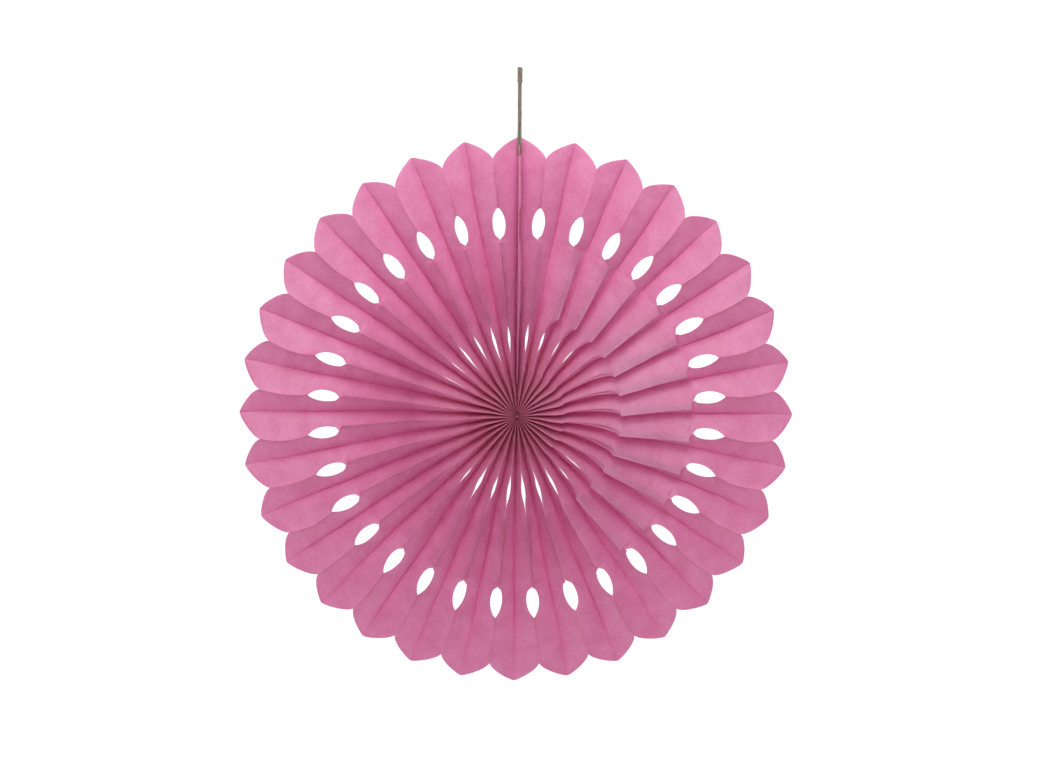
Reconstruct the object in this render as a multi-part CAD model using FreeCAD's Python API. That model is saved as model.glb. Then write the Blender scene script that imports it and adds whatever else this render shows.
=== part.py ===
"""Hanging tissue-paper rosette: a pleated strip fanned round a full circle, held open at a seam.

The fan is a flat disc in the XZ plane that faces -Y. It hangs by a doubled cord from a knot, and the
origin is the knot's top. Azimuths run clockwise from the top, as seen from the front. Each pleat has
two panels that meet in a front fold, and it is joined to its neighbours along its rear folds.
"""

import FreeCAD, Part
import math
import os

os.makedirs("parts", exist_ok=True)
V = FreeCAD.Vector
AXIAL = V(0, 1, 0)

# Driving dimensions, in mm and degrees
PLEATS = 32
TIP_R = 200.0            # hub to a petal's tip, on a rear fold
NOTCH_R = 186.0          # hub to a notch between petals, on a front fold
INNER_R = 5.0            # the strip's inner edge
PANEL = 20.0             # panel width, from a rear fold to a front fold
TISSUE = 0.12            # sheet thickness, measured round the circle
FOLD_GAP = 0.04          # each side of a rear fold, between neighbouring pleats
PETAL_POWER = 1.55       # how full a petal's rounded end is

# Oval cuts across the front folds: inner end, outer end, depth
OUTER_CUT = (126.0, 151.0, 6.2)
INNER_CUT = (34.0, 75.0, 6.0)

# End panels, stiffening cards and adhesive pads at the seam
END_HALF = 9.0           # half the end panel's width
END_TISSUE = 0.10
END_INNER_R = 24.0       # the end panels' inner edge
SHIFT_START_R = 12.0     # from here out to END_INNER_R the folds beside the seam move apart
END_CUT_SHARE = 0.6      # the depth of the end panels' cut, as a share of a pleat's
CARD = 0.30
PAD = 0.20               # the gap between the cards
CARD_INNER_R = 30.0
CARD_INSET = 2.0         # how far the card's edges stand inside the end panel's
PADS = {"outer": (135.0, 172.0), "inner": (48.0, 98.0)}
PAD_HALF = 5.0
PAD_CORNER_R = 2.0
SEAM_CLEAR = 0.10        # between an end panel and the pleat beside it

# Hub binding
THREAD_RING_R = 3.4
THREAD_D = 0.7
THREAD_KNOT_R = 1.0

# Hanging cord
DROP = 50.0              # knot's top to the top petal's tip
CORD_D = 3.0
STRAND_D = 1.3
STRAND_SIDE = 1.5        # each strand stands this far off the seam's middle
KNOT_D = 4.3
KNOT_LEN = 12.0
KNOT_WAIST_D = 3.7
EYE_D = 4.4              # punched hole that the cord's loop goes through
EYE_R = 187.0            # its place, hub to hole

HALF_STEP = math.pi / PLEATS
HUB_Z = -(DROP + TIP_R)
SEAM_HALF = PAD / 2 + CARD + END_TISSUE + SEAM_CLEAR
SECTIONS = [INNER_R, SHIFT_START_R, END_INNER_R, 60.0, 90.0, 115.0, 140.0, 165.0, 185.0, TIP_R + 2.0]


def save(shape, node):
    """Move a shape from the hub's frame to the part's frame and write it."""
    shape.translate(V(0, 0, HUB_Z))
    shape.exportStep("parts/" + node + ".step")


def amplitude(rho):
    """Half of a pleat's depth where its middle line is rho from the hub."""
    half_width = rho * math.tan(HALF_STEP)
    return math.sqrt(PANEL**2 - half_width**2) / 2


def seam_shift(rho, turn):
    """How far a fold stands aside to leave room for the cards; turn runs from 0 to 1 round the fan."""
    grown = min(max((rho - SHIFT_START_R) / (END_INNER_R - SHIFT_START_R), 0.0), 1.0)
    return SEAM_HALF * grown * (1 - 2 * turn)


def petal_end(share):
    """Radius of the strip's outer edge, from a rear fold (share 0) to a front fold (share 1)."""
    return TIP_R - (TIP_R - NOTCH_R) * share**PETAL_POWER


def pleat_section(rho, index):
    """The folded sheet's closed outline across one pleat, in the plane rho along its middle line."""
    half = amplitude(rho)
    reach = rho * math.tan(HALF_STEP)
    left = -reach + seam_shift(rho, index / PLEATS) + FOLD_GAP
    right = reach + seam_shift(rho, (index + 1) / PLEATS) - FOLD_GAP
    apex = (left + right) / 2
    inside = -half + 2 * half * TISSUE / (right - apex)
    outline = [
        V(left, half, rho),
        V(apex, -half, rho),
        V(right, half, rho),
        V(right - TISSUE, half, rho),
        V(apex, inside, rho),
        V(left + TISSUE, half, rho),
    ]
    return Part.makePolygon(outline + outline[:1])


def across(edges, half_width):
    """A cutting block: a closed outline in the YZ plane, carried to both sides along X."""
    face = Part.Face(Part.Wire(edges))
    face.translate(V(-half_width, 0, 0))
    return face.extrude(V(2 * half_width, 0, 0))


def line(a, b):
    return Part.LineSegment(a, b).toShape()


def oval_cutter(cut, front):
    """An oval whose long axis lies on the front fold; front gives that fold's depth at a radius."""
    inner, outer, depth = cut
    middle = (inner + outer) / 2
    centre = V(0, -front(middle), middle)
    oval = Part.Ellipse(centre + V(0, 0, (outer - inner) / 2), centre + V(0, depth, 0), centre)
    return across([oval.toShape()], TIP_R / 4)


def end_cutter(front, inset, fan_out):
    """Everything beyond the petal's rounded edge; front gives the front fold's depth at a radius."""
    steps = 8
    points = []
    for step in range(steps + 1):
        share = step / steps
        radius = petal_end(share) - inset
        tilt = (1 - share) * HALF_STEP * fan_out
        points.append(V(0, front(radius) * (1 - 2 * share), radius * math.cos(tilt)))
    curve = Part.BSplineCurve()
    curve.interpolate(points)
    beyond = TIP_R + 20
    corners = [
        points[-1],
        V(0, -PANEL, points[-1].z),
        V(0, -PANEL, beyond),
        V(0, PANEL, beyond),
        V(0, PANEL, points[0].z),
        points[0],
    ]
    edges = [curve.toShape()]
    edges += [line(corners[i], corners[i + 1]) for i in range(len(corners) - 1)]
    return across(edges, TIP_R / 4)


def pleat(index):
    """One pleat: two panels and their front fold, with the oval cuts and the petal's edge."""
    sheet = Part.makeLoft([pleat_section(rho, index) for rho in SECTIONS], True, True)
    for cutter in (
        end_cutter(amplitude, 0.0, 1.0),
        oval_cutter(OUTER_CUT, amplitude),
        oval_cutter(INNER_CUT, amplitude),
    ):
        sheet = sheet.cut(cutter)
    sheet.rotate(V(0, 0, 0), AXIAL, math.degrees(HALF_STEP) * (2 * index + 1))
    return sheet


def seam_plate(side, near, thick, inner, half, inset):
    """A flat plate in the seam, near to far from its middle plane; side is +1 right, -1 left.

    The right side has a punched eye that the cord's loop goes through. The left side has the same eye
    open at the top, so that it closes round the cord and swings away from it.
    """
    plate = Part.makeBox(thick, 2 * half, TIP_R + 5 - inner, V(near, -half, inner))
    plate = plate.cut(end_cutter(lambda radius: half, inset, 0.0))
    start = near - 2 * SEAM_HALF
    length = 4 * SEAM_HALF + thick
    plate = plate.cut(Part.makeCylinder(EYE_D / 2, length, V(start, 0, EYE_R), V(1, 0, 0)))
    if side < 0:
        plate = plate.cut(Part.makeBox(length, EYE_D, TIP_R, V(start, -EYE_D / 2, EYE_R)))
    return plate


def end_panel(side):
    """The strip's last panel, glued to the card's outer face."""
    near = PAD / 2 + CARD if side > 0 else -(PAD / 2 + CARD + END_TISSUE)
    panel = seam_plate(side, near, END_TISSUE, END_INNER_R, END_HALF, 0.0)
    inner, outer, depth = OUTER_CUT
    return panel.cut(oval_cutter((inner, outer, depth * END_CUT_SHARE), lambda rho: END_HALF))


def end_card(side):
    """The stiffening card, between the adhesive pads and the strip's last panel."""
    near = PAD / 2 if side > 0 else -(PAD / 2 + CARD)
    return seam_plate(side, near, CARD, CARD_INNER_R, END_HALF - CARD_INSET, CARD_INSET)


def adhesive_pad(inner, outer):
    pad = Part.makeBox(PAD, 2 * PAD_HALF, outer - inner, V(-PAD / 2, -PAD_HALF, inner))
    corners = [edge for edge in pad.Edges if abs(edge.tangentAt(edge.FirstParameter).x) > 0.99]
    return pad.makeFillet(PAD_CORNER_R, corners)


def thread_ring():
    return Part.makeTorus(THREAD_RING_R, THREAD_D / 2, V(0, 0, 0), AXIAL)


def thread_knot():
    """The binding's knot, on the ring's lowest point, with the ring's own thickness taken out of it."""
    knot = Part.makeSphere(THREAD_KNOT_R, V(0, 0, -THREAD_RING_R))
    return knot.cut(thread_ring())


def cord_exit():
    """Where the cord meets the end panels' top edge, as a distance from the hub."""
    return petal_end(0.5)


def hanging_cord():
    foot = cord_exit()
    top = TIP_R + DROP - KNOT_LEN
    return Part.makeCylinder(CORD_D / 2, top - foot, V(0, 0, foot), V(0, 0, 1))


def cord_loop():
    """The cord's two strands, one each side of the cards, joined through the punched eye."""
    foot = cord_exit()
    low = EYE_R + STRAND_SIDE
    left = V(-STRAND_SIDE, 0, foot)
    right = V(STRAND_SIDE, 0, foot)
    turn_left = V(-STRAND_SIDE, 0, low)
    turn_right = V(STRAND_SIDE, 0, low)
    path = Part.Wire([
        line(left, turn_left),
        Part.Arc(turn_left, V(0, 0, low - STRAND_SIDE), turn_right).toShape(),
        line(turn_right, right),
    ])
    ring = Part.Wire([Part.Circle(left, V(0, 0, 1), STRAND_D / 2).toShape()])
    return path.makePipeShell([ring], True, False)


def cord_knot():
    """A wrapped knot, turned from an outline with a slight waist."""
    foot = TIP_R + DROP - KNOT_LEN
    top = TIP_R + DROP
    radius = KNOT_D / 2
    waist = KNOT_WAIST_D / 2
    neck = CORD_D / 2
    middle = (foot + top) / 2
    third = KNOT_LEN / 3
    outline = [
        line(V(0, 0, foot), V(neck, 0, foot)),
        Part.Arc(V(neck, 0, foot), V(radius, 0, foot + third / 2), V(waist, 0, middle)).toShape(),
        Part.Arc(V(waist, 0, middle), V(radius, 0, top - third / 2), V(neck, 0, top)).toShape(),
        line(V(neck, 0, top), V(0, 0, top)),
        line(V(0, 0, top), V(0, 0, foot)),
    ]
    face = Part.Face(Part.Wire(outline))
    return face.revolve(V(0, 0, 0), V(0, 0, 1), 360)


def main():
    for index in range(PLEATS):
        save(pleat(index), "pleat_%02d" % (index + 1))
    for side, word in ((1, "right"), (-1, "left")):
        save(end_panel(side), "end_panel_" + word)
        save(end_card(side), "end_card_" + word)
    for word, (inner, outer) in PADS.items():
        save(adhesive_pad(inner, outer), "adhesive_pad_" + word)
    save(thread_ring(), "centre_thread")
    save(thread_knot(), "centre_thread_knot")
    save(hanging_cord(), "hanging_cord")
    save(cord_loop(), "cord_loop")
    save(cord_knot(), "cord_knot")


main()
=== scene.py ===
import math

import bmesh
import bpy
import numpy as np
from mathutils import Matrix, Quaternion, Vector


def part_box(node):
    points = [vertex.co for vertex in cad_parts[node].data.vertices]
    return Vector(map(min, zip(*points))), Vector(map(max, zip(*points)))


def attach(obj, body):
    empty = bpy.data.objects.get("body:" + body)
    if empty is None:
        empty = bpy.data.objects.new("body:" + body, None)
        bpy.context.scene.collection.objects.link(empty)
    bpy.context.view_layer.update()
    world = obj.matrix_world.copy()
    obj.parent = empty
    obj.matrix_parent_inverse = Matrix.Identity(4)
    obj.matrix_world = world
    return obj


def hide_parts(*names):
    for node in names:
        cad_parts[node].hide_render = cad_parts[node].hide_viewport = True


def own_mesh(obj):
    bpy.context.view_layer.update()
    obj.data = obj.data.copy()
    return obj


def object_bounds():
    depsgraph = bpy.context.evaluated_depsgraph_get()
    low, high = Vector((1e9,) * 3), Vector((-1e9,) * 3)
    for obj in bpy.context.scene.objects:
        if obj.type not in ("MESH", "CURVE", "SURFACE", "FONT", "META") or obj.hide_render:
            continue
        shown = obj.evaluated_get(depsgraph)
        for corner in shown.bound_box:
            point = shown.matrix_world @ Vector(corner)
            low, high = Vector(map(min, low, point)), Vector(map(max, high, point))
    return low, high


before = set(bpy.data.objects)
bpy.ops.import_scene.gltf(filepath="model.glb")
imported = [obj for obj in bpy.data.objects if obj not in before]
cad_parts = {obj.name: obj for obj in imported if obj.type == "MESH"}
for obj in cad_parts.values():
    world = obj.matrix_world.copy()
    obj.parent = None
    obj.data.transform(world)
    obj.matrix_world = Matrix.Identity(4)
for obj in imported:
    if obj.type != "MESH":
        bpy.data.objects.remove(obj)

cad_low, cad_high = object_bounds()

# ---------------------------------------------------------------- places and sizes, in metres

PLEATS = 32
HALF_STEP = math.pi / PLEATS


def middle(node):
    low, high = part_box(node)
    return (low + high) / 2


HUB = middle("centre_thread")
TIP_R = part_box("pleat_08")[1].x  # hub to a petal's tip, on a rear fold
NOTCH_R = 0.186          # hub to a notch between petals, on a front fold
INNER_R = 0.0042         # the strip's inner edge, beside the thread
PINCHED_R = 0.0006       # the inner edge in front of the thread and behind it
PANEL = 0.020            # panel width, from a rear fold to a front fold
PETAL_POWER = 1.55       # how full a petal's rounded end is
TISSUE = 0.00010
FOLD_GAP = 0.00002       # each side of a rear fold, between neighbouring pleats
SEAM_HALF = 0.0006       # room on each side of the seam's middle
SEAM_GROWS = (0.020, 0.030)  # the radii between which the folds beside the seam move apart
# Oval cuts across a front fold: inner end, outer end, share of the panel taken away
OUTER_CUT = (0.126, 0.151, 0.37)
INNER_CUT = (0.034, 0.075, 0.30)
STRETCH_FROM = 0.152     # outside this radius the mesh rows follow the petal's edge
TAB = 0.0003             # how far a pleat reaches behind the next one at a rear fold
ACROSS = 15              # mesh columns across a panel
OVERLAP_STEP = 0.00016   # how far a cut's right edge stands forward, and its left edge back
CARD_CLEAR = math.radians(1.35)  # how far the folded pleats lean in from the two cards

END_CUT = 0.16           # share of an end panel that its outer cut takes away
SEAM_ROWS = 111          # mesh points along a seam sheet, and across it
SEAM_COLUMNS = 23
CARD_GAP = 0.00002       # between a card and the adhesive pads
CARD = 0.00026
EYE_R = 0.0022           # the punched eye for the cord's loop
EYE_OUT = 0.187          # its place, hub to hole

# How the tissue has set
WANDER = 0.0006          # how far a rear fold strays from its straight line
FRONT_WANDER = 0.0005    # and a front fold
FALL_RIGHT = 0.0069      # how far the loose folds have fallen over, right and left of the seam
FALL_LEFT = 0.0030
SAG = 0.0022             # how far a petal's front fold sags at the fan's two sides
HUB_DOME = 0.0035        # how far the crowded pleats sink back round the hub
CRUMPLES = (0.0008, 0.00028, 0.00014)  # a panel's bow, its coarse creases and its fine ones

# The first random seed of each kind; every fold and panel adds its own number to it
REAR_FOLD_SEED = 100
FRONT_FOLD_SEED = 300
CRUMPLE_SEED = 500
GAPE_SEED = 700
FALL_SEED = 900
SAG_SEED = 950
SEAM_SEED = 41
TWINE_SEED = 7
THREAD_SEED = 11

STRAND_R = 0.00076       # twine, two strands of which make the cord
CORD_R = 0.0015
CORD_IN_KNOT = 0.006     # how far the cord runs on inside its knot
SWELL_STEP = 0.004       # the length over which a strand's thickness varies
GIRTH_UV = 0.004         # how wide a strand's girth is in UV


# ---------------------------------------------------------------- small helpers

def lattice(rng, u, v, nu, nv):
    """Smooth random values from -1 to 1 over u and v, which run from 0 to 1, with nu by nv cells."""
    grid = rng.uniform(-1, 1, (nu + 2, nv + 2))
    x = np.clip(u, 0, 1) * nu
    y = np.clip(v, 0, 1) * nv
    i = np.minimum(x.astype(int), nu)
    j = np.minimum(y.astype(int), nv)
    fx = x - i
    fy = y - j
    fx = fx * fx * (3 - 2 * fx)
    fy = fy * fy * (3 - 2 * fy)
    low = grid[i, j] * (1 - fx) + grid[i + 1, j] * fx
    high = grid[i, j + 1] * (1 - fx) + grid[i + 1, j + 1] * fx
    return low * (1 - fy) + high * fy


def step_up(x, low, high):
    """0 below low, 1 above high, smooth between."""
    t = np.clip((x - low) / (high - low), 0, 1)
    return t * t * (3 - 2 * t)


def mesh_object(name, points, faces, uvs=None):
    """A smooth-shaded mesh object with sharp edges marked, normals facing out and no unused points."""
    mesh = bpy.data.meshes.new(name)
    mesh.from_pydata(points, [], faces)
    if uvs is not None:
        layer = mesh.uv_layers.new(name="UVMap")
        corners = np.empty(len(mesh.loops), np.int32)
        mesh.loops.foreach_get("vertex_index", corners)
        layer.data.foreach_set("uv", np.asarray(uvs, np.float32)[corners].ravel())
    bm = bmesh.new()
    bm.from_mesh(mesh)
    bmesh.ops.delete(bm, geom=[v for v in bm.verts if not v.link_faces], context="VERTS")
    bmesh.ops.recalc_face_normals(bm, faces=bm.faces)
    bm.to_mesh(mesh)
    bm.free()
    mesh.shade_smooth()
    mesh.set_sharp_from_angle(angle=math.radians(35))
    thing = bpy.data.objects.new(name, mesh)
    bpy.context.scene.collection.objects.link(thing)
    return thing


def dress(thing, material, slot, body, *nodes):
    """Give a piece its material, the body it rides on and the CAD nodes it stands for. The slot argument
    is not used.
    """
    thing.data.materials.clear()
    thing.data.materials.append(material)
    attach(thing, body)
    if nodes:
        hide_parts(*nodes)
    return thing


# ---------------------------------------------------------------- materials

def new_material(name):
    material = bpy.data.materials.new(name)
    material.use_nodes = True
    tree = material.node_tree
    return material, tree, tree.nodes["Principled BSDF"]


def ramp(tree, fac, low, high, colours):
    """A colour ramp from the first colour at low to the last at high."""
    node = tree.nodes.new("ShaderNodeValToRGB")
    node.color_ramp.elements[0].position = low
    node.color_ramp.elements[0].color = (*colours[0], 1)
    node.color_ramp.elements[1].position = high
    node.color_ramp.elements[1].color = (*colours[-1], 1)
    tree.links.new(fac, node.inputs["Fac"])
    return node.outputs["Color"]


def noise_value(tree, vector, scale, detail, rough, stretch=(1, 1, 1)):
    mapping = tree.nodes.new("ShaderNodeMapping")
    mapping.inputs["Scale"].default_value = stretch
    tree.links.new(vector, mapping.inputs["Vector"])
    node = tree.nodes.new("ShaderNodeTexNoise")
    node.inputs["Scale"].default_value = scale
    node.inputs["Detail"].default_value = detail
    node.inputs["Roughness"].default_value = rough
    tree.links.new(mapping.outputs["Vector"], node.inputs["Vector"])
    return node.outputs["Fac"]


def bumped(tree, height, distance, strength, normal=None):
    """Bump by height, in metres, on top of normal."""
    node = tree.nodes.new("ShaderNodeBump")
    node.inputs["Distance"].default_value = distance
    node.inputs["Strength"].default_value = strength
    tree.links.new(height, node.inputs["Height"])
    if normal is not None:
        tree.links.new(normal, node.inputs["Normal"])
    return node.outputs["Normal"]


def multiplied(tree, factor, first, second):
    """The first colour darkened by the second, as far as factor says."""
    node = tree.nodes.new("ShaderNodeMix")
    node.data_type = "RGBA"
    node.blend_type = "MULTIPLY"
    node.inputs["Factor"].default_value = factor
    tree.links.new(first, node.inputs["A"])
    tree.links.new(second, node.inputs["B"])
    return node.outputs["Result"]


TISSUE_DEEP = (0.835, 0.32, 0.555)
TISSUE_PALE = (0.885, 0.41, 0.64)


def tissue_material():
    """Pink tissue paper: cloudy pulp, short fibres, soft crumples, light passing through, and painted
    shade towards the hub.
    """
    material, tree, shader = new_material("pink_tissue")
    place = tree.nodes.new("ShaderNodeTexCoord").outputs["UV"]
    cloud = noise_value(tree, place, 70, 4.0, 0.6)
    colour = ramp(tree, cloud, 0.30, 0.70, [TISSUE_DEEP, TISSUE_PALE])
    fibre = noise_value(tree, place, 900, 2.0, 0.6, (1.0, 0.30, 1.0))
    flecks = ramp(tree, fibre, 0.35, 0.70, [(0.90, 0.86, 0.88), (1.0, 1.0, 1.0)])
    colour = multiplied(tree, 0.8, colour, flecks)
    split = tree.nodes.new("ShaderNodeSeparateXYZ")
    tree.links.new(place, split.inputs["Vector"])
    # Painted shade: the colour darkens and deepens towards the hub, standing in for the shade between the
    # crowded pleats there
    painted_hub_shade = ramp(tree, split.outputs["Y"], 0.006, 0.070, [(1.0, 0.88, 0.86), (1.0, 1.0, 1.0)])
    colour = multiplied(tree, 1.0, colour, painted_hub_shade)
    tree.links.new(colour, shader.inputs["Base Color"])
    shader.inputs["Roughness"].default_value = 0.52
    shader.inputs["Specular IOR Level"].default_value = 1.0
    shader.inputs["IOR"].default_value = 1.55
    crumple = noise_value(tree, place, 160, 5.0, 0.62)
    normal = bumped(tree, crumple, 0.0012, 0.35)
    normal = bumped(tree, fibre, 0.00008, 0.5, normal)
    tree.links.new(normal, shader.inputs["Normal"])
    through = tree.nodes.new("ShaderNodeBsdfTranslucent")
    tree.links.new(colour, through.inputs["Color"])
    tree.links.new(normal, through.inputs["Normal"])
    mix = tree.nodes.new("ShaderNodeMixShader")
    mix.inputs["Fac"].default_value = 0.50
    tree.links.new(shader.outputs["BSDF"], mix.inputs[1])
    tree.links.new(through.outputs["BSDF"], mix.inputs[2])
    tree.links.new(mix.outputs["Shader"], tree.nodes["Material Output"].inputs["Surface"])
    return material


def plain_paper(name, deep, pale, rough, grain):
    """Card, tape or thread: a soft two-tone colour with a fine grain."""
    material, tree, shader = new_material(name)
    place = tree.nodes.new("ShaderNodeTexCoord").outputs["Object"]
    cloud = noise_value(tree, place, 120, 4.0, 0.6)
    colour = ramp(tree, cloud, 0.30, 0.70, [deep, pale])
    tree.links.new(colour, shader.inputs["Base Color"])
    shader.inputs["Roughness"].default_value = rough
    shader.inputs["Specular IOR Level"].default_value = 0.3
    speck = noise_value(tree, place, grain, 3.0, 0.6)
    tree.links.new(bumped(tree, speck, 0.0001, 0.6), shader.inputs["Normal"])
    return material


def twine_material():
    """Jute twine: brown-grey with long fibres that follow the strand, darker between them."""
    material, tree, shader = new_material("jute_twine")
    place = tree.nodes.new("ShaderNodeTexCoord").outputs["UV"]
    strands = noise_value(tree, place, 1.0, 4.0, 0.65, (1600, 260, 1))
    colour = ramp(tree, strands, 0.32, 0.68, [(0.115, 0.092, 0.066), (0.33, 0.285, 0.215)])
    tree.links.new(colour, shader.inputs["Base Color"])
    shader.inputs["Roughness"].default_value = 0.9
    shader.inputs["Specular IOR Level"].default_value = 0.2
    tree.links.new(bumped(tree, strands, 0.00025, 0.8), shader.inputs["Normal"])
    return material


def stage_material():
    material, _, shader = new_material("pale_sweep")
    shader.inputs["Base Color"].default_value = (0.93, 0.93, 0.93, 1)
    shader.inputs["Roughness"].default_value = 0.9
    return material


# ---------------------------------------------------------------- the pleated strip

def amplitude(rho):
    reach = rho * math.tan(HALF_STEP)
    return np.sqrt(np.maximum(PANEL**2 - reach**2, 0)) / 2


def petal_end(share):
    """Radius of the strip's outer edge, from a rear fold (share 0) to a front fold (share 1)."""
    return TIP_R - (TIP_R - NOTCH_R) * share**PETAL_POWER


def seam_shift(rho, turn):
    grown = np.clip((rho - SEAM_GROWS[0]) / (SEAM_GROWS[1] - SEAM_GROWS[0]), 0, 1)
    return SEAM_HALF * grown * (1 - 2 * turn)


def cut_share(rho, cut):
    """The share of the panel that an oval cut has taken from its front edge at rho."""
    inner, outer, deepest = cut
    x = np.clip((2 * rho - inner - outer) / (outer - inner), -1, 1)
    return deepest * np.sqrt(1 - x * x)


def inner_edge(share):
    """The gathered inner edge, which runs in almost to a point but leaves room for the thread."""
    room = step_up(share, 0.34, 0.46) * (1 - step_up(share, 0.54, 0.66))
    return PINCHED_R + (INNER_R - PINCHED_R) * room


def sheet_thickness(rho):
    return TISSUE * np.clip(rho / INNER_R, 0.12, 1)


def row_places():
    """Front-fold radii of the mesh rows: even steps, but closer together at the ends of each cut."""
    rows = list(np.linspace(INNER_R, INNER_CUT[0], 18, endpoint=False))
    for (inner, outer, _), rows_in_cut, next_r, rows_beyond in (
        (INNER_CUT, 26, OUTER_CUT[0], 26),
        (OUTER_CUT, 30, NOTCH_R, 20),
    ):
        turn = np.linspace(0, math.pi, rows_in_cut + 1)
        rows += list((inner + outer) / 2 - (outer - inner) / 2 * np.cos(turn))
        rows += list(np.linspace(outer, next_r, rows_beyond, endpoint=next_r == NOTCH_R)[1:])
    return np.array(rows)


def fold_drift(seed, rho, size):
    """How far a fold wanders sideways and in depth, as two smooth curves along it."""
    rng = np.random.default_rng(seed)
    v = rho / TIP_R
    zero = np.zeros_like(v)
    side = lattice(rng, zero, v, 1, 5) * size + lattice(rng, zero, v, 1, 16) * size * 0.3
    depth = lattice(rng, zero, v, 1, 4) * size * 0.6
    fade = step_up(rho, 0.004, 0.030)
    return side * fade, depth * fade


def fallen(index):
    """How far the loose part of a front fold, between the two cuts, has fallen over clockwise."""
    turn = (index + 0.5) / PLEATS * 360
    rng = np.random.default_rng(FALL_SEED + index)
    right = (0.3 + 0.7 * step_up(turn, 0, 14)) * (1 - step_up(turn, 118, 172))
    left = step_up(turn, 212, 240) * (1 - step_up(turn, 262, 286))
    return FALL_RIGHT * right + FALL_LEFT * left + rng.uniform(-0.0009, 0.0009)


def lean(index, rho, let_go, held):
    """The front fold's sideways displacement; clockwise is positive. It fades from let_go out to held."""
    azimuth = (index + 0.5) * 2 * HALF_STEP
    # Near the top and the bottom a fold falls over only beyond the inner cut
    upright = math.cos(azimuth)**2
    begins = 0.040 + 0.023 * upright
    full = 0.074 + 0.004 * upright
    loose = 0.26 * step_up(rho, 0.006, 0.030) + 0.74 * step_up(rho, begins, full)
    loose = loose * (1 - step_up(rho, let_go, held))
    rng = np.random.default_rng(SAG_SEED + index)
    sag = SAG * math.sin(azimuth) + rng.uniform(-0.0010, 0.0010)
    along = np.clip((rho - OUTER_CUT[1]) / (NOTCH_R - OUTER_CUT[1]), 0, 1)
    return fallen(index) * loose + sag * np.sin(math.pi * along)


def pressed_share(index, share, front_r):
    """The share that sets how near two panels stand: a cut's edges spring shut, except where it gapes."""
    azimuth = (index + 0.5) * 2 * HALF_STEP
    rng = np.random.default_rng(GAPE_SEED + index)
    inner, outer, _ = INNER_CUT
    x = np.clip((2 * front_r - inner - outer) / (outer - inner) - 0.12, -1, 1)
    gape = math.cos(azimuth)**2 * rng.uniform(0.60, 0.85) * (1 - x * x)**5
    shut = (1 / (1 - cut_share(front_r, INNER_CUT)) - 1) * np.clip(1 - gape, 0, 1)
    closed_end = 1 - step_up(front_r, OUTER_CUT[0] + 0.001, OUTER_CUT[0] + 0.005)
    shut = shut + (1 / (1 - cut_share(front_r, OUTER_CUT)) - 1) * closed_end
    edge = share[:, -1:]
    return share * (1 + 1.03 * shut[:, None] * (share / edge)**4)


def overlap_depth(side, share, front_r):
    """Along the cuts the right panel's edge lies just in front of the left one's."""
    parted = cut_share(front_r, INNER_CUT) + cut_share(front_r, OUTER_CUT)
    near_edge = (share / share[:, -1:])**4
    return -side * OVERLAP_STEP * np.clip(parted / 0.12, 0, 1)[:, None] * near_edge


def crumpled(index, side, share, rho):
    """How far a panel bows and crumples along its own normal."""
    rng = np.random.default_rng(CRUMPLE_SEED + 2 * index + (side > 0))
    bow, coarse, fine = CRUMPLES
    out = rho / TIP_R
    wide = 4 * share * (1 - share)
    bowed = wide * lattice(rng, share, out, 1, 4) * bow * step_up(rho, 0.010, 0.080)
    loose = np.minimum(1, share / 0.12) * (1 - 0.6 * share)
    creased = lattice(rng, share, out, 3, 22) * coarse + lattice(rng, share, out, 6, 48) * fine
    return bowed + creased * loose * step_up(rho, 0.006, 0.040)


def panel_points(index, side, share, rho, pressed):
    """Points of the pleat's left (-1) or right (+1) panel in the pleat's own frame: side, depth, out."""
    reach = rho * math.tan(HALF_STEP)
    half = amplitude(rho)
    edge = index if side < 0 else index + 1
    wander = 0.0 if edge in (0, PLEATS) else WANDER
    rear_side, rear_depth = fold_drift(REAR_FOLD_SEED + edge, rho, wander)
    front_side, front_depth = fold_drift(FRONT_FOLD_SEED + index, rho, FRONT_WANDER)
    rear_x = side * reach + seam_shift(rho, edge / PLEATS) + rear_side
    front_x = seam_shift(rho, (index + 0.5) / PLEATS) + front_side
    droop = lean(index, rho, 0.1258, 0.1300)
    eased = lean(index, rho, 0.108, 0.150)
    # Both folds are pressed creases, so the panel leaves them edge-on and opens in between
    taut = 1 - np.clip(np.abs(droop) / 0.009, 0, 0.7) * (side < 0)
    curl = 0.8 * (1 - 0.4 * step_up(rho, 0.165, 0.198)) * taut
    # Near the hub the pleats crowd one another, and their front folds spread
    belly = 1 - step_up(rho, 0.018, 0.085)
    curl = curl * (1 - belly)
    opened = (1 - curl) * pressed + curl * pressed * pressed * (3 - 2 * pressed)
    opened = opened**(1 + 4 * belly * np.clip(0.012 / rho, 0, 3))
    x = rear_x + (front_x - rear_x) * opened + droop * np.clip((share - 0.30) / 0.70, 0, 1)**1.5
    # A fallen fold sits further back, because the panel over it keeps its width
    kept = np.sqrt(np.maximum(PANEL**2 - (reach + np.abs(eased) * 0.85)**2, (0.35 * PANEL)**2))
    kept = np.where(rho > STRETCH_FROM, 2 * half, np.minimum(kept, 2 * half))
    dome = HUB_DOME * step_up(rho, 0.004, 0.030) * (1 - step_up(rho, 0.032, 0.050))
    y = half + rear_depth * (1 - share) + (front_depth + dome - kept) * share
    # The panel under a fallen fold has paper to spare and buckles up towards it
    spare = np.maximum(droop * side, 0) * 0.32
    x = x - side * spare * 4 * share * (1 - share)
    rise = crumpled(index, side, share, rho)
    x = x + rise * (2 * half / PANEL)
    y = y - rise * side * (reach / PANEL)
    return np.stack([x, y, rho], -1)


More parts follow.
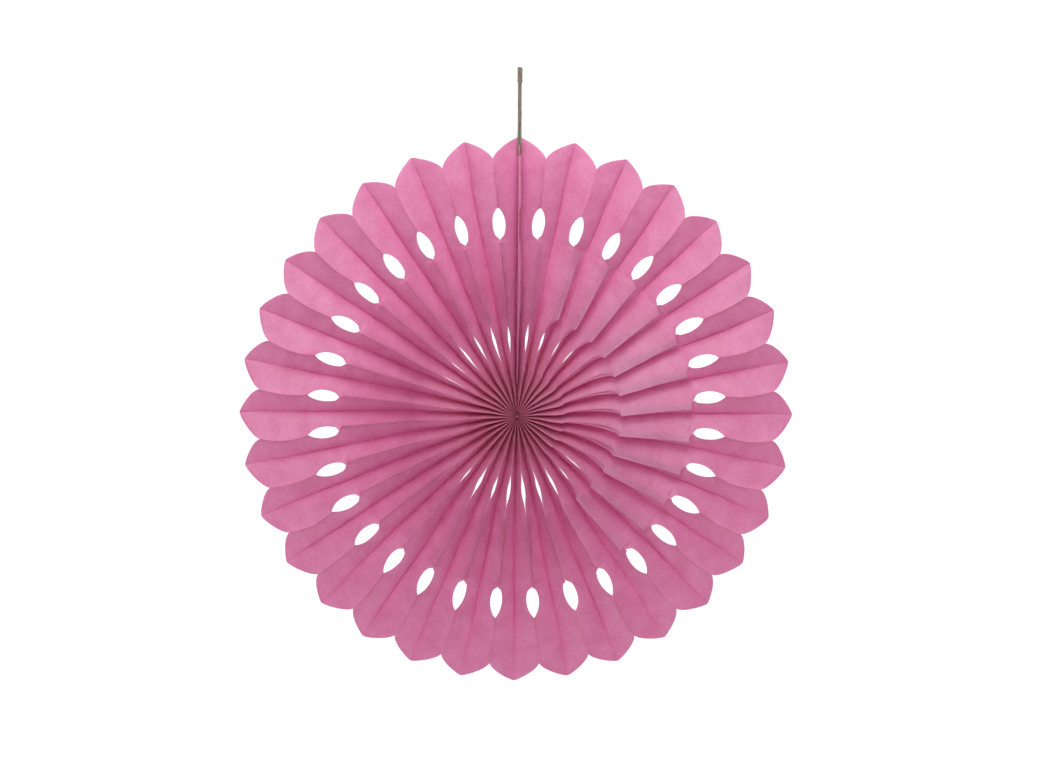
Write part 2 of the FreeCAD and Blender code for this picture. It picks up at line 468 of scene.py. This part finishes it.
def panel_grid():
    """A panel's mesh grid: its front-fold radii, and each point's share of the panel and radius."""
    front_r = row_places()
    taken = cut_share(front_r, INNER_CUT) + cut_share(front_r, OUTER_CUT)
    across = np.r_[0, 1 - np.linspace(1, 0, ACROSS)**1.4]
    across[1] = 0.004
    share = (1 - taken)[:, None] * across[None, :]
    end = petal_end(share) * np.cos((1 - share) * HALF_STEP)
    beyond = np.clip((front_r - STRETCH_FROM) / (NOTCH_R - STRETCH_FROM), 0, 1)[:, None]
    rho = np.minimum(front_r, STRETCH_FROM)[:, None] + beyond * (end - STRETCH_FROM)
    rho = rho - (INNER_R - inner_edge(share)) * (1 - step_up(front_r, INNER_R, 0.016))[:, None]
    return front_r, taken > 1e-6, share, rho


def sheet_face(index, layer, side, front_r, share, rho):
    """One face of a panel's sheet; layer is -1 for the counter-clockwise face and 1 for the other."""
    face = panel_points(index, side, share, rho, pressed_share(index, share, front_r))
    face[..., 1] += overlap_depth(side, share, front_r)
    thick = sheet_thickness(rho)
    clear = thick / 2 + np.minimum(FOLD_GAP, rho * 0.01)
    face[..., 0] += side * (layer * thick / 2 - clear * (1 - share)**6)
    if side > 0:
        # The strip runs on across the rear fold, a little way behind the next pleat
        face[:, 0, 0] += TAB * np.clip(rho[:, 0] / 0.03, 0, 1)
        face[:, 0, 1] += TAB / 3
    return face


def fold_offset(layer, rho):
    """From the sheet's middle to its face at the front fold, mitred on the inside."""
    thick = sheet_thickness(rho)
    steep = 2 * amplitude(rho) / (rho * math.tan(HALF_STEP))
    depth = min(steep * thick, 0.0006) if layer < 0 else 0.0
    return np.array([layer * thick / 2, depth, 0.0])


def panel_faces(corner, cut):
    """The sheet's two faces, its edges round the cuts and the petal, and its inner edge."""
    rows = len(cut)
    faces = []
    for at in corner.values():
        for i in range(rows - 1):
            for j in range(ACROSS):
                faces.append((at[i, j], at[i, j + 1], at[i + 1, j + 1], at[i + 1, j]))
    for side in (-1, 1):
        one = corner[-1, side]
        two = corner[1, side]
        for i in range(rows - 1):
            faces.append((one[i, 0], one[i + 1, 0], two[i + 1, 0], two[i, 0]))
            if cut[i] or cut[i + 1]:
                faces.append((one[i, -1], one[i + 1, -1], two[i + 1, -1], two[i, -1]))
        for i in (0, rows - 1):
            for j in range(ACROSS):
                faces.append((one[i, j], one[i, j + 1], two[i, j + 1], two[i, j]))
    return faces


def pleat_mesh(index):
    """The pleat as one closed thin sheet: two panels that share the front fold where no cut parts them."""
    front_r, cut, share, rho = panel_grid()
    points = []
    uvs = []
    corner = {}
    for layer in (-1, 1):
        for side in (-1, 1):
            face = sheet_face(index, layer, side, front_r, share, rho)
            at = np.empty(share.shape, int)
            for i, j in np.ndindex(share.shape):
                on_fold = j == ACROSS and not cut[i]
                if side > 0 and on_fold:
                    at[i, j] = corner[layer, -1][i, j]
                    continue
                at[i, j] = len(points)
                points.append(face[i, j] + (fold_offset(layer, rho[i, j]) if on_fold else 0.0))
                along = 2 * index + (share[i, j] if side < 0 else 2 - share[i, j])
                uvs.append((along * PANEL, rho[i, j]))
            corner[layer, side] = at

    points = np.array(points)
    turn = (2 * index + 1) * HALF_STEP
    x = points[:, 0] * math.cos(turn) + points[:, 2] * math.sin(turn)
    z = -points[:, 0] * math.sin(turn) + points[:, 2] * math.cos(turn)
    placed = np.stack([x + HUB.x, points[:, 1] + HUB.y, z + HUB.z], -1)
    return placed.tolist(), panel_faces(corner, cut), uvs


def make_pleats(material):
    for index in range(PLEATS):
        node = "pleat_%02d" % (index + 1)
        points, faces, uvs = pleat_mesh(index)
        sheet = mesh_object(node + "_tissue", points, faces, uvs)
        dress(sheet, material, "tissue", node, node)
        turn = (2 * index + 1) * HALF_STEP
        turn += CARD_CLEAR * (1 - (2 * index + 1) / PLEATS)
        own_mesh(sheet)


# ---------------------------------------------------------------- the seam

def seam_grid(node, top, cut):
    """A seam sheet's grid: each point's share of the way from the rear edge, its depth and its radius."""
    low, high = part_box(node)
    inner = low.z - HUB.z
    v = np.linspace(0, 1, SEAM_ROWS)[:, None]
    s = np.linspace(0, 1, SEAM_COLUMNS)[None, :]
    rho = inner + v * (petal_end(s) - (TIP_R - top) - inner)
    share = s * (1 - cut_share(rho[:, -1:], (OUTER_CUT[0], OUTER_CUT[1], cut)))
    return share, (high.y - low.y) / 2 * (1 - 2 * share), rho


def end_panel_bend(near, share, rho):
    """The two end panels meet at their front and inner edges, and lean over a little together."""
    rng = np.random.default_rng(SEAM_SEED)
    narrow = 1 - 0.88 * (1 - np.clip((rho - rho[0, 0]) / 0.006, 0, 1))
    front = step_up(share, 0.89, 0.99)
    lean_over = (0.0012 + 0.0003 * lattice(rng, share, rho / TIP_R, 1, 9)) * step_up(rho, 0.03, 0.09)
    return near * narrow * (1 - 0.75 * front) + lean_over * front


def card_bend(near, share):
    """The cards are pinched together along their front edges."""
    return near * (1 - 0.8 * step_up(share, 0.88, 0.97))


def upright_sheet(name, x, y, rho, share, thick, slotted):
    """A closed sheet, thick along X, with the cord's eye punched in it; a slot opens the eye outwards."""
    points = []
    uvs = []
    for shift in (0.0, thick):
        for i, j in np.ndindex(x.shape):
            points.append((x[i, j] + shift + HUB.x, y[i, j] + HUB.y, rho[i, j] + HUB.z))
            uvs.append((share[i, j] * PANEL, rho[i, j]))
    across = (y[:-1, :-1] + y[1:, 1:]) / 2
    out = (rho[:-1, :-1] + rho[1:, 1:]) / 2 - EYE_OUT
    punched = np.hypot(across, out) < EYE_R
    if slotted:
        punched |= (np.abs(across) < EYE_R) & (out > 0)
    # The cells that stay, with a border of missing ones round the sheet
    kept = np.pad(~punched, 1)
    at = np.arange(x.size).reshape(x.shape)
    faces = []
    for i, j in np.argwhere(kept) - 1:
        ring = [int(c) for c in (at[i, j], at[i, j + 1], at[i + 1, j + 1], at[i + 1, j])]
        faces.append(tuple(ring))
        faces.append(tuple(c + x.size for c in reversed(ring)))
        beside = ((i - 1, j), (i, j + 1), (i + 1, j), (i, j - 1))
        for n, (bi, bj) in enumerate(beside):
            if not kept[bi + 1, bj + 1]:
                a = ring[n]
                b = ring[(n + 1) % 4]
                faces.append((a, b, b + x.size, a + x.size))
    return mesh_object(name, points, faces, uvs)


def inner_face(node, side):
    """Where a seam sheet's face towards the seam's middle lies."""
    low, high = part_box(node)
    return low.x if side > 0 else high.x


def make_seam(tissue, card, tape):
    for side, word, body in ((1, "right", "seam_side"), (-1, "left", "closing_side")):
        node = "end_panel_" + word
        share, y, rho = seam_grid(node, TIP_R, END_CUT)
        x = end_panel_bend(inner_face(node, side), share, rho)
        panel = upright_sheet(node + "_tissue", x, y, rho, share, side * TISSUE, side < 0)
        dress(panel, tissue, "tissue", body, node)

        node = "end_card_" + word
        share, y, rho = seam_grid(node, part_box(node)[1].z - HUB.z, 0.0)
        x = card_bend(inner_face(node, side) + side * CARD_GAP, share)
        board = upright_sheet(node + "_board", x, y, rho, share, side * CARD, side < 0)
        dress(board, card, "card", body, node)
    for word in ("outer", "inner"):
        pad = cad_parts["adhesive_pad_" + word]
        pad.data.materials.clear()
        pad.data.materials.append(tape)


# ---------------------------------------------------------------- twine and thread

def spline_points(route):
    """Points along the smooth NURBS line of a route."""
    curve = bpy.data.curves.new("route", "CURVE")
    curve.dimensions = "3D"
    spline = curve.splines.new("NURBS")
    spline.points.add(len(route) - 1)
    for point, place in zip(spline.points, route):
        point.co = (*place, 1)
    spline.order_u = 3
    spline.use_endpoint_u = True
    spline.resolution_u = 24
    holder = bpy.data.objects.new("route", curve)
    bpy.context.scene.collection.objects.link(holder)
    bpy.context.view_layer.update()
    mesh = bpy.data.meshes.new_from_object(holder)
    points = np.array([v.co for v in mesh.vertices])
    bpy.data.objects.remove(holder)
    bpy.data.meshes.remove(mesh)
    return points


def run_along(points):
    """The distance run at each point of a line."""
    return np.r_[0, np.cumsum(np.linalg.norm(np.diff(points, axis=0), axis=1))]


def even_points(points, step):
    """The same line with points a step apart."""
    run = run_along(points)
    count = max(2, int(round(run[-1] / step)) + 1)
    at = np.linspace(0, run[-1], count)
    return np.stack([np.interp(at, run, points[:, k]) for k in range(3)], -1)


def frames(points):
    """The line's direction at each point, and two more square to it, without twist."""
    along = np.gradient(points, axis=0)
    along /= np.linalg.norm(along, axis=1)[:, None]
    side = np.cross(along[0], (0.0, 1.0, 0.0))
    if np.linalg.norm(side) < 0.1:
        side = np.cross(along[0], (1.0, 0.0, 0.0))
    sides = []
    for t in along:
        side = side - t * np.dot(side, t)
        side = side / np.linalg.norm(side)
        sides.append(side)
    sides = np.array(sides)
    return along, sides, np.cross(along, sides)


def tube(points, radius, around, uv_start=0.0):
    """A round tube with flat caps along points; radius is one number or one for each point."""
    radius = np.broadcast_to(radius, len(points))
    _, one, two = frames(points)
    run = run_along(points)
    ring = np.linspace(0, 2 * math.pi, around, endpoint=False)
    out = []
    uvs = []
    for p, a, b, r, d in zip(points, one, two, radius, run):
        for t in ring:
            out.append(p + (a * math.cos(t) + b * math.sin(t)) * r)
            uvs.append((t / (2 * math.pi) * GIRTH_UV + uv_start, d))
    faces = []
    for i in range(len(points) - 1):
        for j in range(around):
            k = (j + 1) % around
            faces.append((i * around + j, i * around + k, (i + 1) * around + k, (i + 1) * around + j))
    faces.append(tuple(range(around - 1, -1, -1)))
    last = (len(points) - 1) * around
    faces.append(tuple(range(last, last + around)))
    return out, faces, uvs


def joined(parts):
    """Several tubes as one mesh."""
    points, faces, uvs = [], [], []
    for p, f, u in parts:
        base = len(points)
        points += [tuple(x) for x in p]
        faces += [tuple(c + base for c in face) for face in f]
        uvs += list(u)
    return points, faces, uvs


def plies(points, rng, offset, strand, pitch, phase=0.0, around=8):
    """Two strands twisted round a line: each is a tube on a helix of radius offset."""
    run = run_along(points)
    _, one, two = frames(points)
    swells = max(2, int(run[-1] / SWELL_STEP))
    parts = []
    for n in range(2):
        turn = run / pitch * 2 * math.pi + phase + math.pi * n
        helix = points + one * (np.cos(turn) * offset)[:, None] + two * (np.sin(turn) * offset)[:, None]
        swell = strand * (1 + 0.06 * lattice(rng, run * 0, run / run[-1], 1, swells))
        parts.append(tube(helix, swell, around, n * 0.01))
    return parts


def stray_fibres(points, radius, count, rng):
    """Short hairs that stand out from the twine."""
    along, one, two = frames(points)
    parts = []
    for _ in range(count):
        i = rng.integers(2, len(points) - 3)
        t = rng.uniform(0, 2 * math.pi)
        out = one[i] * math.cos(t) + two[i] * math.sin(t)
        length = rng.uniform(0.0012, 0.0030)
        rise = rng.uniform(0.10, 0.30)
        side = np.cross(along[i], out) * rng.uniform(-0.5, 0.5)
        start = points[i] + out * radius * 0.8
        s = np.linspace(0, 1, 6)[:, None]
        lying = along[i] * s * length * rng.choice([-1, 1])
        hair = start + lying + (out * rise + side * 0.3) * s**1.5 * length
        parts.append(tube(hair, np.linspace(0.00006, 0.00003, 6), 4))
    return parts


def make_cord(twine):
    """The doubled cord from the end panels up into its knot, and the knot that goes with it."""
    rng = np.random.default_rng(TWINE_SEED)
    knot_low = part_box("cord_knot")[0]
    exit_point = Vector((0, 0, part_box("hanging_cord")[0].z))
    inside_knot = Vector((0, 0, knot_low.z + CORD_IN_KNOT))
    span = inside_knot.z - exit_point.z
    route = [
        exit_point,
        Vector((0.00015, 0.0001, exit_point.z + 0.35 * span)),
        Vector((-0.00015, 0.0, exit_point.z + 0.70 * span)),
        inside_knot,
    ]
    line = even_points(spline_points(route), 0.0004)
    parts = plies(line, rng, offset=CORD_R - STRAND_R, strand=STRAND_R, pitch=0.60, around=14)
    parts += stray_fibres(line, CORD_R, 26, rng)
    cord = mesh_object("hanging_cord_twine", *joined(parts))
    dress(cord, twine, "twine", "seam_side", "hanging_cord")
    knot = make_knot(twine, rng)
    make_loop(twine, rng)


def make_knot(twine, rng):
    """The two strands' ends, wrapped round and round by one of them."""
    low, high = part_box("cord_knot")
    turns = 7.6
    wrap_r = 0.00143
    core = np.array([(0, 0, z) for z in np.linspace(low.z, high.z - 0.0004, 40)])
    parts = plies(core, rng, offset=0.0006, strand=0.00062, pitch=0.03, phase=0.4, around=10)
    t = np.linspace(0, turns * 2 * math.pi, 300)
    height = np.linspace(low.z + 0.0009, high.z - 0.0010, 300) + 0.00012 * np.sin(t * 0.7)
    bulge = wrap_r + 0.00005 * np.sin(t * 0.31 + 1.0)
    wrap = np.stack([np.cos(t) * bulge, np.sin(t) * bulge, height], -1)
    parts += plies(wrap, rng, offset=0.00030, strand=0.00042, pitch=0.0052)
    knot = mesh_object("cord_knot_twine", *joined(parts))
    return dress(knot, twine, "twine", "hanging_end", "cord_knot")


def make_loop(twine, rng):
    """The cord's loop inside the seam, through the punched eye."""
    low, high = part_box("cord_loop")
    side = 0.00122           # each strand's distance from the seam's middle
    strand_r = 0.00065
    turn_z = low.z + strand_r + side
    bend = [(-side * math.cos(a), 0, turn_z - side * math.sin(a)) for a in np.linspace(0, math.pi, 24)]
    line = even_points(np.array([(-side, 0, high.z), *bend, (side, 0, high.z)]), 0.0003)
    parts = plies(line, rng, offset=0.00028, strand=0.00036, pitch=0.0050)
    loop = mesh_object("cord_loop_twine", *joined(parts))
    dress(loop, twine, "twine", "seam_side", "cord_loop")


def make_thread(cotton):
    """The thread that gathers the hub: two plies in a ring."""
    rng = np.random.default_rng(THREAD_SEED)
    low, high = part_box("centre_thread")
    thread_r = (high.y - low.y) / 2
    ring_r = (high.x - low.x) / 2 - thread_r
    twists = 14
    t = np.linspace(0, 2 * math.pi, 160)
    ring = np.stack([HUB.x + ring_r * np.sin(t), HUB.y + 0 * t, HUB.z + ring_r * np.cos(t)], -1)
    pitch = 2 * math.pi * ring_r / twists
    parts = plies(ring, rng, offset=thread_r * 0.48, strand=thread_r * 0.5, pitch=pitch)
    thread = mesh_object("centre_thread_ply", *joined(parts))
    dress(thread, cotton, "thread", "seam_side", "centre_thread")
    make_thread_knot(cotton, rng)


def make_thread_knot(cotton, rng):
    """A trefoil, which is the shape that an overhand knot pulls into."""
    centre = middle("centre_thread_knot")
    low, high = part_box("centre_thread_knot")
    size = (high.x - low.x) / 2
    wide = 0.72
    deep = 0.45
    t = np.linspace(0, 2 * math.pi, 120)
    x = (np.sin(t) + 2 * np.sin(2 * t)) / 3 * size * wide
    y = -np.sin(3 * t) * size * deep
    z = (np.cos(t) - 2 * np.cos(2 * t)) / 3 * size * wide
    line = np.stack([centre.x + x, centre.y + y, centre.z + z], -1)
    parts = plies(line, rng, offset=size * 0.13, strand=size * 0.16, pitch=size * 1.4)
    knot = mesh_object("centre_thread_knot_ply", *joined(parts))
    dress(knot, cotton, "thread", "seam_side", "centre_thread_knot")


# ---------------------------------------------------------------- stage, lights and camera

def make_stage():
    """A pale sweep below and behind the fan, far enough away to catch no shadow."""
    size = 8.0
    floor_z = cad_low.z - 0.25
    depth = 1.6
    rise = 4.0
    radius = 0.8
    profile = [(-size / 2, floor_z), (depth - radius, floor_z)]
    for a in np.linspace(0, math.pi / 2, 16):
        profile.append((depth - radius + radius * math.sin(a), floor_z + radius - radius * math.cos(a)))
    profile.append((depth, floor_z + rise))
    points = []
    faces = []
    for y, z in profile:
        points += [(-size / 2, y, z), (size / 2, y, z)]
    for i in range(len(profile) - 1):
        faces.append((2 * i, 2 * i + 1, 2 * i + 3, 2 * i + 2))
    sweep = mesh_object("studio_sweep", points, faces)
    sweep.data.materials.append(stage_material())


def area_light(name, place, target, size, power):
    light = bpy.data.lights.new(name, "AREA")
    light.shape = "SQUARE"
    light.size = size
    light.energy = power
    lamp = bpy.data.objects.new(name, light)
    lamp.location = place
    lamp.rotation_mode = "QUATERNION"
    lamp.rotation_quaternion = (Vector(target) - Vector(place)).to_track_quat("-Z", "Y")
    lamp.visible_camera = False
    bpy.context.scene.collection.objects.link(lamp)


def make_lights():
    """Soft light from above and in front, and two lamps that light only the backdrop."""
    world = bpy.data.worlds.new("studio")
    bpy.context.scene.world = world
    world.use_nodes = True
    background = world.node_tree.nodes["Background"]
    background.inputs["Color"].default_value = (1, 1, 1, 1)
    background.inputs["Strength"].default_value = 0.12
    area_light("key", HUB + Vector((0.02, -0.40, 0.66)), HUB, size=0.35, power=1.6)
    upper = HUB + Vector((0, 0, 0.16))
    area_light("front", HUB + Vector((-0.05, -0.54, 0.44)), upper, size=0.50, power=2.7)
    backdrop = HUB + Vector((0, 1.6, -0.1))
    for side, word in ((-1, "left"), (1, "right")):
        place = HUB + Vector((side * 1.4, 0.2, 0.9))
        area_light("backdrop_" + word, place, backdrop, size=1.0, power=27)


def make_camera():
    """At the photo's view: a little above the fan's middle and 2 m away."""
    elevation = math.radians(10.92)
    azimuth = math.radians(-1.62)
    roll = math.radians(0.58)
    distance = 2.0
    aim_right = 0.00187      # the view's middle, from the middle of the fan's front
    aim_up = 0.02637
    out = Vector((math.sin(azimuth) * math.cos(elevation),
                  -math.cos(azimuth) * math.cos(elevation),
                  math.sin(elevation)))
    right = Vector((math.cos(azimuth), math.sin(azimuth), 0))
    up = out.cross(right)
    front = HUB + Vector((0, -PANEL / 2, 0))
    aim = front + right * aim_right + up * aim_up
    place = front + out * distance
    upright = (aim - place).to_track_quat("-Z", "Y")
    data = bpy.data.cameras.new("camera")
    data.sensor_width = 36.0
    data.lens = 96.3
    camera = bpy.data.objects.new("camera", data)
    camera.location = place
    camera.rotation_mode = "QUATERNION"
    camera.rotation_quaternion = upright @ Quaternion((0, 0, 1), roll)
    bpy.context.scene.collection.objects.link(camera)
    bpy.context.scene.camera = camera


# ---------------------------------------------------------------- the whole scene

make_camera()
make_stage()
make_lights()
tissue = tissue_material()
twine = twine_material()
card = plain_paper("pink_card", (0.62, 0.16, 0.30), (0.70, 0.22, 0.37), 0.85, 2500)
tape = plain_paper("adhesive_tape", (0.80, 0.78, 0.72), (0.88, 0.86, 0.80), 0.55, 1800)
cotton = plain_paper("cotton_thread", (0.76, 0.73, 0.68), (0.88, 0.86, 0.82), 0.9, 4000)
make_cord(twine)
make_pleats(tissue)
make_seam(tissue, card, tape)
make_thread(cotton)
bpy.context.scene.view_settings.view_transform = "Standard"
